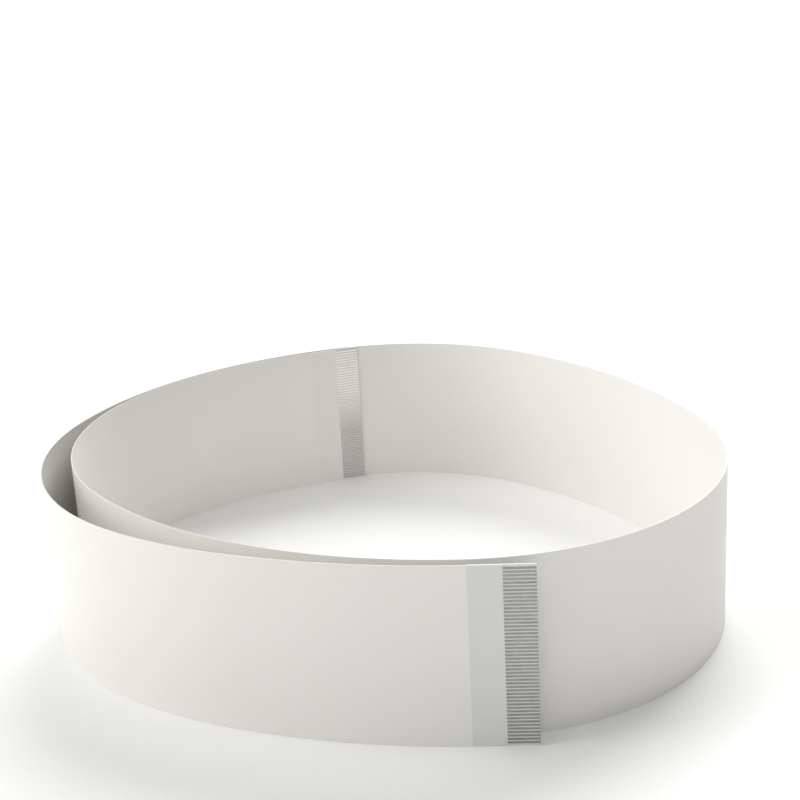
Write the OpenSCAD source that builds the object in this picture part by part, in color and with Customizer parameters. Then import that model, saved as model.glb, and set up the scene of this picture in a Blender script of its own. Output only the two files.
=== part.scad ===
// Flat flex cable: flat tinned conductors laminated between two white films,
// with a stiffener behind the bare contacts at each end, wound on edge into an
// open coil of one and a half turns. The contacts face outward at the outer
// end and inward at the inner end, as on a cable with contacts on opposite
// sides. Millimetres, +Z up, origin at the middle of the footprint.

/* [Conductors] */
// Number of conductors
conductors = 50; // [4:1:56]
// Distance between the middles of neighbouring conductors
pitch = 0.5; // [0.5:0.05:0.8]
// Width of each flat conductor
conductor_w = 0.32; // [0.3:0.01:0.35]
// Thickness of each flat conductor
conductor_t = 0.05; // [0.04:0.01:0.1]

/* [Films] */
// Thickness of each insulating film over the conductors
film_t = 0.05; // [0.04:0.01:0.1]

/* [Ends] */
// Bare contact length at each tip
contact_len = 4.2; // [3:0.1:5]
// Length of the stiffener behind each tip
stiffener_len = 8.7; // [6:0.1:8.7]
// Thickness of the stiffener
stiffener_t = 0.2; // [0.1:0.05:0.3]

/* [Coil] */
// Whole length of the cable, tip to tip
cable_len = 474.5; // [474.5:0.5:478]
// Straight run at the inner tip
inner_run = 10; // [9.5:0.5:10]
// Straight run ahead of the last bend
flare_run = 3; // [2:0.5:3]
// Bend radius leaving the inner tip
r_inner_end = 52; // [51:0.25:52]
// Bend radius at the left of the inner wrap
r_inner_left = 39.75; // [39.5:0.25:39.75]
// Bend radius at the front left of the inner wrap
r_front_left = 66.5; // [66:0.25:66.5]
// Bend radius at the front right
r_front_right = 38.25; // [38:0.25:38.25]
// Bend radius just past the right side
r_right = 39.75; // [39.5:0.25:40.25]
// Bend radius at the back right
r_back_right = 76.5; // [76.25:0.25:77]
// Bend radius at the back
r_back = 37.25; // [37:0.25:37.5]
// Bend radius of the outer wrap just past the inner tip
r_past_tip = 59; // [58:0.25:59.5]
// Bend radius at the back left of the outer wrap
r_back_left = 56; // [55:0.25:56.5]
// Bend radius at the left of the outer wrap
r_outer_left = 40.75; // [40:0.25:41]
// Bend radius at the front left of the outer wrap
r_outer_front = 61.75; // [61:0.25:62.5]
// Radius of the last bend, where the outer end flares away
r_flare = 92; // [91:0.25:92.5]

/* [Hidden] */
$fn = 256;
width = (conductors + 1) * pitch;
half_t = conductor_t / 2;          // the conductors lie on the middle of the cable
face_t = half_t + film_t;          // outside faces of the two films

// Unit headings at the bends' ends, each a whole-number triangle such as 3-4-5
// or 7-24-25, so that neighbouring bends meet on one exact line.
headings = [[-0.936, -0.352], [-0.6, -0.8], [0.6, -0.8], [1, 0], [0, 1],
            [-0.28, 0.96], [-0.8, 0.6], [-0.96, -0.28], [-0.8, -0.6],
            [-0.28, -0.96], [0.8, -0.6], [0.96, -0.28], [1, 0]];
radii = [r_inner_end, r_inner_left, r_front_left, r_front_right, r_right,
         r_back_right, r_back, r_past_tip, r_back_left, r_outer_left,
         r_outer_front, r_flare];
bends = len(radii);
last = bends - 1;

function left(h) = [-h[1], h[0]];
function turn(a, b) = acos(a * b);

// Where each bend starts, walking from the inner tip at [0, 0]
function start(k) =
    k == 0 ? inner_run * headings[0]
           : finish(k - 1) + (k == last ? flare_run * headings[last] : [0, 0]);
function centre(k) = start(k) + radii[k] * left(headings[k]);
function finish(k) = centre(k) - radii[k] * left(headings[k + 1]);

// The outer straight run takes up what is left of the cable's length
function bent(k) = k < 0 ? 0 : bent(k - 1) + radii[k] * turn(headings[k], headings[k + 1]) * PI / 180;
outer_run = round(100 * (cable_len - inner_run - flare_run - bent(last))) / 100;

// Footprint, from the furthest point on each side of the winding
x_min = centre(9)[0] - radii[9] - face_t;
x_max = max(finish(3)[0], centre(4)[0] + radii[4]) + face_t;
y_min = finish(last)[1] - face_t;
y_max = centre(6)[1] + radii[6] + face_t;
shift = [-round(500 * (x_min + x_max)) / 1000, -round(500 * (y_min + y_max)) / 1000];

function conductor_name(i) = str("conductor_", i < 10 ? "0" : "", i);

// One bend of the ribbon between depths a and b, counted outward from its middle
module bend(k, a, b) {
    c = centre(k);
    u = -left(headings[k]);
    v = -left(headings[k + 1]);
    intersection() {
        translate(c) difference() {
            circle(r = radii[k] + b);
            circle(r = radii[k] + a);
        }
        polygon([c, c + 100 * u, c + 100 * (u + v), c + 100 * v]);
    }
}

// A straight stretch from p along h, between lengths s0 and s1
module run(p, h, s0, s1, a, b) {
    n = -left(h);
    polygon([p + s0 * h + a * n, p + s0 * h + b * n, p + s1 * h + b * n, p + s1 * h + a * n]);
}

// The whole wound ribbon in plan, shortened at each tip
module ribbon(a, b, inner_cut = 0, outer_cut = 0) {
    translate(shift) {
        run([0, 0], headings[0], inner_cut, inner_run, a, b);
        for (k = [0:last]) bend(k, a, b);
        run(finish(last - 1), headings[last], 0, flare_run, a, b);
        run(finish(last), headings[bends], 0, outer_run - outer_cut, a, b);
    }
}

function conductor_z(i) = i * pitch - conductor_w / 2;

module conductor(i) {
    color([0.70, 0.70, 0.68])
        translate([0, 0, conductor_z(i)])
            linear_extrude(conductor_w) ribbon(-half_t, half_t);
}

// A film reaches the middle of the cable between the conductors, where its
// adhesive meets the other film's, and carries half the depth of each conductor.
module film(a, b, inner_cut, outer_cut) {
    color([0.96, 0.96, 0.94]) difference() {
        linear_extrude(width) ribbon(a, b, inner_cut, outer_cut);
        for (i = [1:conductors])
            translate([0, 0, conductor_z(i)])
                linear_extrude(conductor_w) ribbon(-half_t, half_t, -1, -1);
    }
}

module film_outer() { film(0, face_t, 0, contact_len); }

module film_inner() { film(-face_t, 0, contact_len, 0); }

// Stiffener behind the outer end's contacts, on the concave face
module stiffener_outer_end() {
    color([0.88, 0.89, 0.90]) linear_extrude(width) translate(shift)
        run(finish(last), headings[bends], outer_run - stiffener_len, outer_run,
            -face_t - stiffener_t, -face_t);
}

// Stiffener behind the inner end's contacts, on the convex face
module stiffener_inner_end() {
    color([0.88, 0.89, 0.90]) linear_extrude(width) translate(shift)
        run([0, 0], headings[0], 0, stiffener_len, face_t, face_t + stiffener_t);
}

for (i = [1:conductors])
    conductor(i);
film_outer();
film_inner();
stiffener_outer_end();
stiffener_inner_end();
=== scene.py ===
import math

import bmesh
import bpy
import numpy as np
from mathutils import Matrix, Vector


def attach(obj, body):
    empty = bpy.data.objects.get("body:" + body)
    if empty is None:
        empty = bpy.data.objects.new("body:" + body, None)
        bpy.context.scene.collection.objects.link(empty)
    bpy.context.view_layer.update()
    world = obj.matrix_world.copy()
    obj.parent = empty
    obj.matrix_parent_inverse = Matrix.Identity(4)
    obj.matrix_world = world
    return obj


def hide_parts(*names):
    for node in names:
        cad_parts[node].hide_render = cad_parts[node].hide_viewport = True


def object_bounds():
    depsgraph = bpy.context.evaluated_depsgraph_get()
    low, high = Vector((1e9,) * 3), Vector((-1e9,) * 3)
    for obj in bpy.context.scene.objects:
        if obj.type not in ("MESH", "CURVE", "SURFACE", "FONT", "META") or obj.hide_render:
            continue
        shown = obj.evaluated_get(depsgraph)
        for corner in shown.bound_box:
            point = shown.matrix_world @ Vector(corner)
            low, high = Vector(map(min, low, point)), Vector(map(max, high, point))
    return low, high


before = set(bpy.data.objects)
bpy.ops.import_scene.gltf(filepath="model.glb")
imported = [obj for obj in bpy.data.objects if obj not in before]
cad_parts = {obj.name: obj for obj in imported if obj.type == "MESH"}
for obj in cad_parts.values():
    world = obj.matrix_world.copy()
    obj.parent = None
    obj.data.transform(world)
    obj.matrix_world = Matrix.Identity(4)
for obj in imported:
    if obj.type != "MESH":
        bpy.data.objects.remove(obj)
cad_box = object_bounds()

# ---------------------------------------------------------------- the cable
# Sizes in millimetres, the same as the CAD model's.
CONDUCTORS = 50
PITCH = 0.5
COND_W = 0.32
COND_T = 0.05
FILM_T = 0.05
WIDTH = PITCH * (CONDUCTORS + 1)
HALF_T = COND_T / 2
FACE_T = HALF_T + FILM_T
BARE = 4.2
STIFF = 8.7
STIFF_T = 0.2
LENGTH = 474.5
INNER_RUN = 10.0
FLARE_RUN = 3.0
HEADS = [
    (-0.936, -0.352), (-0.6, -0.8), (0.6, -0.8), (1, 0), (0, 1), (-0.28, 0.96),
    (-0.8, 0.6), (-0.96, -0.28), (-0.8, -0.6), (-0.28, -0.96), (0.8, -0.6), (0.96, -0.28), (1, 0),
]
RADII = [52, 39.75, 66.5, 38.25, 39.75, 76.5, 37.25, 59, 56, 40.75, 61.75, 92]
STEP = math.radians(2.2)
MM = 0.001


def left(h):
    return np.array([-h[1], h[0]])


class Route:
    """The cable's middle line, as points with an outward direction at each, from the inner tip to the outer one."""

    def __init__(self):
        heads = [np.array(h, float) for h in HEADS]
        self.parts = []  # (start length, length, kind, data)
        at = 0.0
        p = np.zeros(2)

        def straight(p, h, n, at):
            self.parts.append((at, n, "line", (p.copy(), h)))
            return p + n * h, at + n

        p, at = straight(p, heads[0], INNER_RUN, at)
        for k, r in enumerate(RADII):
            if k == len(RADII) - 1:
                p, at = straight(p, heads[k], FLARE_RUN, at)
            a, b = heads[k], heads[k + 1]
            c = p + r * left(a)
            turn = math.atan2(a[0] * b[1] - a[1] * b[0], a @ b)
            self.parts.append((at, r * turn, "arc", (c, r, a, turn)))
            p = c - r * left(b)
            at += r * turn
        p, at = straight(p, heads[-1], round(LENGTH - at, 2), at)
        self.length = at
        self.shift = np.zeros(2)
        # the middle of the footprint, from the furthest point on each side
        arcs = [data for _, _, kind, data in self.parts if kind == "arc"]
        reach = [(c, r + FACE_T) for c, r, _, _ in arcs]
        x_min = reach[9][0][0] - reach[9][1]
        x_max = max(reach[3][0][0] + reach[3][1], reach[4][0][0] + reach[4][1])
        y_min = p[1] - FACE_T
        y_max = reach[6][0][1] + reach[6][1]
        self.shift = -np.round(500 * np.array([x_min + x_max, y_min + y_max])) / 1000

    def at(self, s, d):
        """The point s along the cable and d out from its middle plane."""
        for a, n, kind, data in self.parts:
            if s <= a + n + 1e-9:
                break
        t = min(max(s - a, 0.0), n)
        if kind == "line":
            p, h = data
            return p + t * h - d * left(h) + self.shift
        c, r, h, turn = data
        w = t / r
        g = np.array([h[0] * math.cos(w) - h[1] * math.sin(w), h[0] * math.sin(w) + h[1] * math.cos(w)])
        return c - (r + d) * left(g) + self.shift

    def stations(self, lo, hi, extra=()):
        """Lengths at which every piece has a ring, so that neighbours share their facets."""
        out = {round(lo, 6), round(hi, 6)}
        for a, n, kind, data in self.parts:
            out.add(round(a, 6))
            out.add(round(a + n, 6))
            if kind == "arc":
                k = max(2, math.ceil(data[3] / STEP))
                out.update(round(a + n * i / k, 6) for i in range(1, k))
        out.update(round(x, 6) for x in (BARE, STIFF, LENGTH - BARE, LENGTH - STIFF))
        out.update(round(x, 6) for x in extra)
        return sorted(x for x in out if lo - 1e-6 <= x <= hi + 1e-6)


route = Route()


def sweep(name, section, lo, hi, marks=()):
    """A closed solid: section is a loop of (depth, height) points, swept from lo to hi along the cable. marks are (test, index) that give side faces another material slot. The attribute 'along' keeps where each point is on the flat cable."""
    ss = route.stations(lo, hi)
    ring = np.array(section, float)
    n, m = len(ring), len(ss)
    verts = np.empty((m, n, 3))
    along = np.empty((m, n, 3))
    for i, s in enumerate(ss):
        base = route.at(s, 0.0)
        out = route.at(s, 1.0) - base
        verts[i, :, :2] = base + ring[:, :1] * out
        verts[i, :, 2] = ring[:, 1]
        along[i, :, 0] = s
        along[i, :, 1] = ring[:, 1]
        along[i, :, 2] = ring[:, 0]
    faces, slots = [], []
    for i in range(m - 1):
        mid = (ss[i] + ss[i + 1]) / 2
        for j in range(n):
            k = (j + 1) % n
            faces.append((i * n + j, i * n + k, (i + 1) * n + k, (i + 1) * n + j))
            slot = 0
            for test, index in marks:
                if test(mid, (ring[j] + ring[k]) / 2):
                    slot = index
            slots.append(slot)
    faces.append(tuple(range(n))[::-1])
    faces.append(tuple((m - 1) * n + j for j in range(n)))
    slots += [0, 0]
    me = bpy.data.meshes.new(name)
    me.from_pydata((verts.reshape(-1, 3) * MM).tolist(), [], faces)
    me.polygons.foreach_set("material_index", slots)
    me.update()
    bm = bmesh.new()
    bm.from_mesh(me)
    bmesh.ops.recalc_face_normals(bm, faces=bm.faces)
    bm.to_mesh(me)
    bm.free()
    got = me.attributes.new("along", "FLOAT_VECTOR", "POINT")
    got.data.foreach_set("vector", along.reshape(-1))
    me.shade_smooth()
    me.set_sharp_from_angle(angle=math.radians(25))
    ob = bpy.data.objects.new(name, me)
    bpy.context.scene.collection.objects.link(ob)
    return ob


# ---------------------------------------------------------------- sections
CUT = 0.012  # the slight round of a slit edge
DIP = 0.002  # how far the film sinks between two conductors


def film_section(side):
    """One film with its adhesive, between the conductors' middle plane and its own face. side is 1 for the outer film and -1 for the inner one."""
    pts = []
    # the face, from the bottom edge to the top one: level over a conductor, dipped between two
    face = FACE_T - DIP / 2
    pts.append((FACE_T - CUT - DIP / 2, 0.0))
    pts.append((face, CUT))
    pts.append((face, PITCH - 0.25))
    for i in range(1, CONDUCTORS + 1):
        z = i * PITCH
        pts.append((FACE_T, z - 0.13))
        pts.append((FACE_T, z + 0.13))
        if i < CONDUCTORS:
            pts.append((FACE_T - DIP, z + 0.25))
    pts.append((face, WIDTH - PITCH + 0.25))
    pts.append((face, WIDTH - CUT))
    pts.append((FACE_T - CUT - DIP / 2, WIDTH))
    # back down the middle plane, over each conductor
    pts.append((0.0, WIDTH))
    for i in range(CONDUCTORS, 0, -1):
        z = i * PITCH
        pts += [
            (0.0, z + COND_W / 2), (HALF_T, z + COND_W / 2),
            (HALF_T, z - COND_W / 2), (0.0, z - COND_W / 2),
        ]
    pts.append((0.0, 0.0))
    return [(side * d, z) for d, z in pts]


def conductor_section(i):
    """A flat conductor, rolled from round wire, so that its two edges are round."""
    z, a, b = i * PITCH, COND_W / 2, HALF_T
    half = [(-b, -a + 0.03), (-b * 0.72, -a + 0.008), (-b * 0.25, -a), (b * 0.25, -a), (b * 0.72, -a + 0.008), (b, -a + 0.03)]
    return [(d, z + y) for d, y in half] + [(d, z - y) for d, y in reversed(half)]


def stiffener_section(side):
    lo, hi = FACE_T, FACE_T + STIFF_T
    return [
        (side * d, z)
        for d, z in (
            (lo, 0.0), (hi - 0.02, 0.0), (hi, 0.02), (hi, WIDTH - 0.02), (hi - 0.02, WIDTH), (lo, WIDTH),
        )
    ]


# ---------------------------------------------------------------- materials
def node(tree, kind, where=(0, 0), **values):
    n = tree.nodes.new(kind)
    n.location = where
    for key, value in values.items():
        if key.startswith("in_"):
            n.inputs[key[3:].replace("_", " ")].default_value = value
        else:
            setattr(n, key, value)
    return n


def maths(tree, op, a, b=None, c=None, clamp=False):
    n = tree.nodes.new("ShaderNodeMath")
    n.operation = op
    n.use_clamp = clamp
    for k, v in enumerate((a, b, c)):
        if v is None:
            continue
        if isinstance(v, (int, float)):
            n.inputs[k].default_value = v
        else:
            tree.links.new(v, n.inputs[k])
    return n.outputs[0]


def noise(tree, vector, scale, detail=3.0, rough=0.5, distortion=0.0):
    n = tree.nodes.new("ShaderNodeTexNoise")
    n.inputs["Scale"].default_value = scale
    n.inputs["Detail"].default_value = detail
    n.inputs["Roughness"].default_value = rough
    n.inputs["Distortion"].default_value = distortion
    tree.links.new(vector, n.inputs["Vector"])
    return n.outputs[0]


def scaled(tree, vector, by):
    n = tree.nodes.new("ShaderNodeVectorMath")
    n.operation = "MULTIPLY"
    tree.links.new(vector, n.inputs[0])
    n.inputs[1].default_value = by
    return n.outputs[0]


def ramp(tree, value, lo, hi, a, b):
    n = tree.nodes.new("ShaderNodeMapRange")
    n.inputs["From Min"].default_value = lo
    n.inputs["From Max"].default_value = hi
    n.inputs["To Min"].default_value = a
    n.inputs["To Max"].default_value = b
    tree.links.new(value, n.inputs["Value"])
    return n.outputs["Result"]


def mix(tree, factor, a, b):
    n = tree.nodes.new("ShaderNodeMix")
    n.data_type = "RGBA"
    for socket, v in (("A_Color", a), ("B_Color", b)):
        s = next(x for x in n.inputs if x.identifier == socket)
        if isinstance(v, tuple):
            s.default_value = v
        else:
            tree.links.new(v, s)
    f = next(x for x in n.inputs if x.identifier == "Factor_Float")
    if isinstance(factor, (int, float)):
        f.default_value = factor
    else:
        tree.links.new(factor, f)
    return next(x for x in n.outputs if x.identifier == "Result_Color")


def material(name):
    m = bpy.data.materials.new(name)
    m.use_nodes = True
    t = m.node_tree
    t.nodes.clear()
    out = t.nodes.new("ShaderNodeOutputMaterial")
    shader = t.nodes.new("ShaderNodeBsdfPrincipled")
    t.links.new(shader.outputs[0], out.inputs["Surface"])
    where = t.nodes.new("ShaderNodeAttribute")
    where.attribute_type = "GEOMETRY"
    where.attribute_name = "along"
    return m, t, shader, where.outputs["Vector"]


def rgb(r, g, b):
    return (r, g, b, 1.0)


def film_material(name, base, tint, show, rough):
    """White polyester: milky, evenly coloured, with the conductors just showing, long faint drawing streaks and a satin face."""
    m, t, shader, where = material(name)
    sep = t.nodes.new("ShaderNodeSeparateXYZ")
    t.links.new(where, sep.inputs[0])
    # 1 over a conductor, 0 between two
    phase = maths(t, "FRACT", maths(t, "ADD", maths(t, "DIVIDE", sep.outputs[1], PITCH), 0.5))
    off = maths(t, "ABSOLUTE", maths(t, "SUBTRACT", phase, 0.5))
    over = ramp(t, off, 0.24, 0.40, 1.0, 0.0)
    inside = maths(
        t, "MULTIPLY",
        maths(t, "GREATER_THAN", sep.outputs[1], PITCH / 2),
        maths(t, "LESS_THAN", sep.outputs[1], WIDTH - PITCH / 2),
    )
    over = maths(t, "MULTIPLY", over, inside)
    cloud = noise(t, scaled(t, where, (0.035, 0.06, 0.0)), 1.0, 4.0, 0.55)
    streak = noise(t, scaled(t, where, (0.02, 2.6, 0.0)), 1.0, 5.0, 0.6)
    fine = noise(t, scaled(t, where, (1.4, 5.5, 0.0)), 1.0, 3.0, 0.6)
    shade = maths(t, "MULTIPLY_ADD", ramp(t, cloud, 0.3, 0.7, -1.0, 1.0), 0.35, 0.5)
    shade = maths(t, "ADD", shade, maths(t, "MULTIPLY", ramp(t, streak, 0.3, 0.7, -1.0, 1.0), 0.22))
    shade = maths(t, "ADD", shade, maths(t, "MULTIPLY", ramp(t, fine, 0.3, 0.7, -1.0, 1.0), 0.10), clamp=True)
    colour = mix(t, shade, rgb(*tint), rgb(*base))
    dark = tuple(c * 0.80 for c in base)
    colour = mix(t, maths(t, "MULTIPLY", over, show), colour, rgb(dark[0], dark[1], dark[2] * 1.01))
    t.links.new(colour, shader.inputs["Base Color"])
    smear = noise(t, scaled(t, where, (0.09, 0.14, 0.0)), 1.0, 6.0, 0.62, 0.4)
    r = maths(t, "MULTIPLY_ADD", ramp(t, smear, 0.32, 0.70, -1.0, 1.0), 0.06, rough)
    r = maths(t, "ADD", r, maths(t, "MULTIPLY", ramp(t, streak, 0.3, 0.7, -1.0, 1.0), 0.02))
    t.links.new(r, shader.inputs["Roughness"])
    shader.inputs["IOR"].default_value = 1.55
    shader.inputs["Specular IOR Level"].default_value = 0.45
    bump = t.nodes.new("ShaderNodeBump")
    bump.inputs["Strength"].default_value = 0.35
    bump.inputs["Distance"].default_value = 0.000004
    height = maths(t, "ADD", noise(t, scaled(t, where, (3.0, 9.0, 0.0)), 1.0, 3.0, 0.6), maths(t, "MULTIPLY", streak, 0.8))
    t.links.new(height, bump.inputs["Height"])
    t.links.new(bump.outputs[0], shader.inputs["Normal"])
    return m


def tin_material():
    """Tinned copper: dull satin metal, drawn along its length, with paler and duller patches."""
    m, t, shader, where = material("tinned_copper")
    drawn = noise(t, scaled(t, where, (0.5, 42.0, 8.0)), 1.0, 4.0, 0.65)
    patch = noise(t, scaled(t, where, (0.8, 1.9, 0.0)), 1.0, 5.0, 0.6, 0.5)
    speck = noise(t, scaled(t, where, (9.0, 24.0, 0.0)), 1.0, 2.0, 0.5)
    shade = maths(t, "MULTIPLY_ADD", ramp(t, patch, 0.3, 0.7, -1.0, 1.0), 0.38, 0.5)
    shade = maths(t, "ADD", shade, maths(t, "MULTIPLY", ramp(t, drawn, 0.3, 0.7, -1.0, 1.0), 0.30), clamp=True)
    colour = mix(t, shade, rgb(0.25, 0.257, 0.261), rgb(0.385, 0.388, 0.38))
    # painted reflection: the contacts of the inner end are made lighter, most of all towards their upper edge
    sep = t.nodes.new("ShaderNodeSeparateXYZ")
    t.links.new(where, sep.inputs[0])
    painted_reflection = maths(t, "MULTIPLY", maths(t, "LESS_THAN", sep.outputs[0], LENGTH / 2), ramp(t, sep.outputs[1], 9.5, 17.0, 0.38, 1.0))
    colour = mix(t, painted_reflection, colour, rgb(0.86, 0.85, 0.825))
    t.links.new(colour, shader.inputs["Base Color"])
    shader.inputs["Metallic"].default_value = 1.0
    r = maths(t, "MULTIPLY_ADD", ramp(t, patch, 0.3, 0.7, 1.0, -1.0), 0.07, 0.40)
    r = maths(t, "ADD", r, maths(t, "MULTIPLY", ramp(t, speck, 0.3, 0.7, -1.0, 1.0), 0.04))
    t.links.new(r, shader.inputs["Roughness"])
    bump = t.nodes.new("ShaderNodeBump")
    bump.inputs["Strength"].default_value = 0.5
    bump.inputs["Distance"].default_value = 0.000004
    t.links.new(drawn, bump.inputs["Height"])
    t.links.new(bump.outputs[0], shader.inputs["Normal"])
    return m


def stiffener_material():
    m, t, shader, where = material("stiffener_film")
    cloud = noise(t, scaled(t, where, (0.3, 0.22, 0.0)), 1.0, 4.0, 0.55)
    streak = noise(t, scaled(t, where, (3.2, 0.05, 0.0)), 1.0, 5.0, 0.6)
    shade = maths(t, "MULTIPLY_ADD", ramp(t, cloud, 0.3, 0.7, -1.0, 1.0), 0.35, 0.5)
    shade = maths(t, "ADD", shade, maths(t, "MULTIPLY", ramp(t, streak, 0.3, 0.7, -1.0, 1.0), 0.25), clamp=True)
    t.links.new(mix(t, shade, rgb(0.70, 0.72, 0.745), rgb(0.76, 0.775, 0.79)), shader.inputs["Base Color"])
    t.links.new(maths(t, "MULTIPLY_ADD", ramp(t, cloud, 0.3, 0.7, -1.0, 1.0), 0.06, 0.42), shader.inputs["Roughness"])
    shader.inputs["IOR"].default_value = 1.55
    bump = t.nodes.new("ShaderNodeBump")
    bump.inputs["Strength"].default_value = 0.4
    bump.inputs["Distance"].default_value = 0.000005
    t.links.new(streak, bump.inputs["Height"])
    t.links.new(bump.outputs[0], shader.inputs["Normal"])
    return m


film_white = film_material("film_white", (0.912, 0.897, 0.866), (0.897, 0.881, 0.848), 0.03, 0.42)
film_backed = film_material("film_over_stiffener", (0.790, 0.792, 0.788), (0.774, 0.776, 0.770), 0.05, 0.42)
film_faint = film_material("film_over_inner_stiffener", (0.890, 0.878, 0.854), (0.874, 0.862, 0.836), 0.03, 0.42)
# painted shade: the white film between the bare contacts of the outer end is made darker, standing for the shade
# between the conductors
gap_film_painted_shade = film_material("film_between_contacts_painted_shade", (0.800, 0.795, 0.780), (0.770, 0.765, 0.750), 0.0, 0.48)
# painted shade: the white film between the bare contacts of the inner end is made darker still, standing for the shade
# between the conductors inside the coil
inner_gap_film_painted_shade = film_material("film_between_inner_contacts_painted_shade", (0.700, 0.695, 0.680), (0.670, 0.665, 0.650), 0.0, 0.48)
tin = tin_material()
stiff = stiffener_material()


# ---------------------------------------------------------------- the pieces
def put(ob, mats, slot, *nodes):
    for m in mats:
        ob.data.materials.append(m)
    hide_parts(*nodes)
    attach(ob, "root")
    return ob


outer_end = LENGTH - STIFF
film_out = put(
    sweep(
        "outer_film", film_section(1), 0.0, LENGTH - BARE,
        marks=[
            (lambda s, p: s > outer_end and p[0] > HALF_T + 0.001, 1),
            # slot 2: the painted shade between the bare contacts of the inner end
            (lambda s, p: s < BARE and p[0] < HALF_T + 0.001, 2),
        ],
    ),
    [film_white, film_backed, inner_gap_film_painted_shade], "film", "film_outer",
)
film_in = put(
    sweep(
        "inner_film", film_section(-1), BARE, LENGTH,
        marks=[
            (lambda s, p: s < STIFF and p[0] < -HALF_T - 0.001, 1),
            # slot 2: the painted shade between the bare contacts of the outer end
            (lambda s, p: s > LENGTH - BARE and p[0] > -HALF_T - 0.001, 2),
        ],
    ),
    [film_white, film_faint, gap_film_painted_shade], "film", "film_inner",
)
for i in range(1, CONDUCTORS + 1):
    put(
        sweep("contact_strip_%02d" % i, conductor_section(i), 0.0, LENGTH),
        [tin], "conductor", "conductor_%02d" % i,
    )
put(
    sweep("outer_end_stiffener", stiffener_section(-1), LENGTH - STIFF, LENGTH),
    [stiff], "stiffener", "stiffener_outer_end",
)
put(
    sweep("inner_end_stiffener", stiffener_section(1), 0.0, STIFF),
    [stiff], "stiffener", "stiffener_inner_end",
)

# ---------------------------------------------------------------- the stage
lo, hi = cad_box
floor_z = lo[2]
me = bpy.data.meshes.new("floor")
r = 30.0
n = 96
ring = [(r * math.cos(2 * math.pi * k / n), r * math.sin(2 * math.pi * k / n), floor_z - 0.00002) for k in range(n)]
me.from_pydata(ring, [], [tuple(range(n))])
floor = bpy.data.objects.new("floor", me)
bpy.context.scene.collection.objects.link(floor)
m = bpy.data.materials.new("floor_white")
m.use_nodes = True
bsdf = m.node_tree.nodes["Principled BSDF"]
bsdf.inputs["Base Color"].default_value = (0.94, 0.94, 0.935, 1.0)
bsdf.inputs["Roughness"].default_value = 0.8
bsdf.inputs["Specular IOR Level"].default_value = 0.2
bsdf.inputs["Emission Color"].default_value = (1.0, 1.0, 1.0, 1.0)
bsdf.inputs["Emission Strength"].default_value = 0.12
me.materials.append(m)

world = bpy.data.worlds.new("studio")
bpy.context.scene.world = world
world.use_nodes = True
bg = world.node_tree.nodes["Background"]
bg.inputs[0].default_value = (1.0, 1.0, 1.0, 1.0)
bg.inputs[1].default_value = 0.22


def sun(name, azimuth, elevation, strength, angle, colour=(1.0, 1.0, 1.0)):
    """A broad, soft, far light. azimuth is the direction that it comes from, counted from +X to +Y."""
    data = bpy.data.lights.new(name, "SUN")
    data.energy = strength
    data.angle = math.radians(angle)
    data.color = colour
    ob = bpy.data.objects.new(name, data)
    a, e = math.radians(azimuth), math.radians(elevation)
    way = Vector((-math.cos(a) * math.cos(e), -math.sin(a) * math.cos(e), -math.sin(e)))
    ob.rotation_euler = way.to_track_quat("-Z", "Y").to_euler()
    bpy.context.scene.collection.objects.link(ob)
    return ob


for name, azimuth, elevation, share, colour in (
    ("left_low", 184, 15, 0.375, (1.0, 0.995, 0.985)),
    ("left_high", 180, 40, 0.13, (1.0, 0.995, 0.985)),
    ("left_top", 180, 65, 0.13, (1.0, 1.0, 0.99)),
    ("front", 275, 20, 0.075, (1.0, 0.985, 0.955)),
    ("back_right", 76, 42, 0.800, (1.0, 0.992, 0.972)),
):
    sun(name, azimuth, elevation, math.pi * share, 40, colour)

scene = bpy.context.scene
scene.view_settings.view_transform = "Standard"
scene.view_settings.look = "None"
scene.view_settings.exposure = 0.0
scene.view_settings.gamma = 1.0

# ---------------------------------------------------------------- the camera
# One view, 15 degrees to each side, looking down by 18.4 degrees and rolled by 3.
FOCAL, DOWN, ROLL, HIGH = 1520.897, 18.3645, -3.0332, 104.405
CAM_X, CAM_Y, YAW = -7.42232, 270.02324, -4.01826
cam = bpy.data.cameras.new("camera")
cam.sensor_fit = "HORIZONTAL"
cam.sensor_width = 36.0
cam.lens = FOCAL / 800 * 36.0
cam.clip_start = 0.005
cam.clip_end = 100.0
eye = bpy.data.objects.new("camera", cam)
scene.collection.objects.link(eye)
turn = Matrix.Rotation(math.radians(-YAW), 3, "Z")
e, q = math.radians(DOWN), math.radians(ROLL)
fwd = Vector((0, math.cos(e), -math.sin(e)))
right = Vector((1, 0, 0))
up = right.cross(fwd)
r2 = right * math.cos(q) + up * math.sin(q)
u2 = -right * math.sin(q) + up * math.cos(q)
at = turn @ Vector((-CAM_X, -CAM_Y, 0)) + Vector((route.shift[0], route.shift[1], 0))
at.z = HIGH
axes = Matrix((turn @ r2, turn @ u2, turn @ -fwd)).transposed()
eye.matrix_world = Matrix.Translation(at * MM) @ axes.to_4x4()
scene.camera = eye
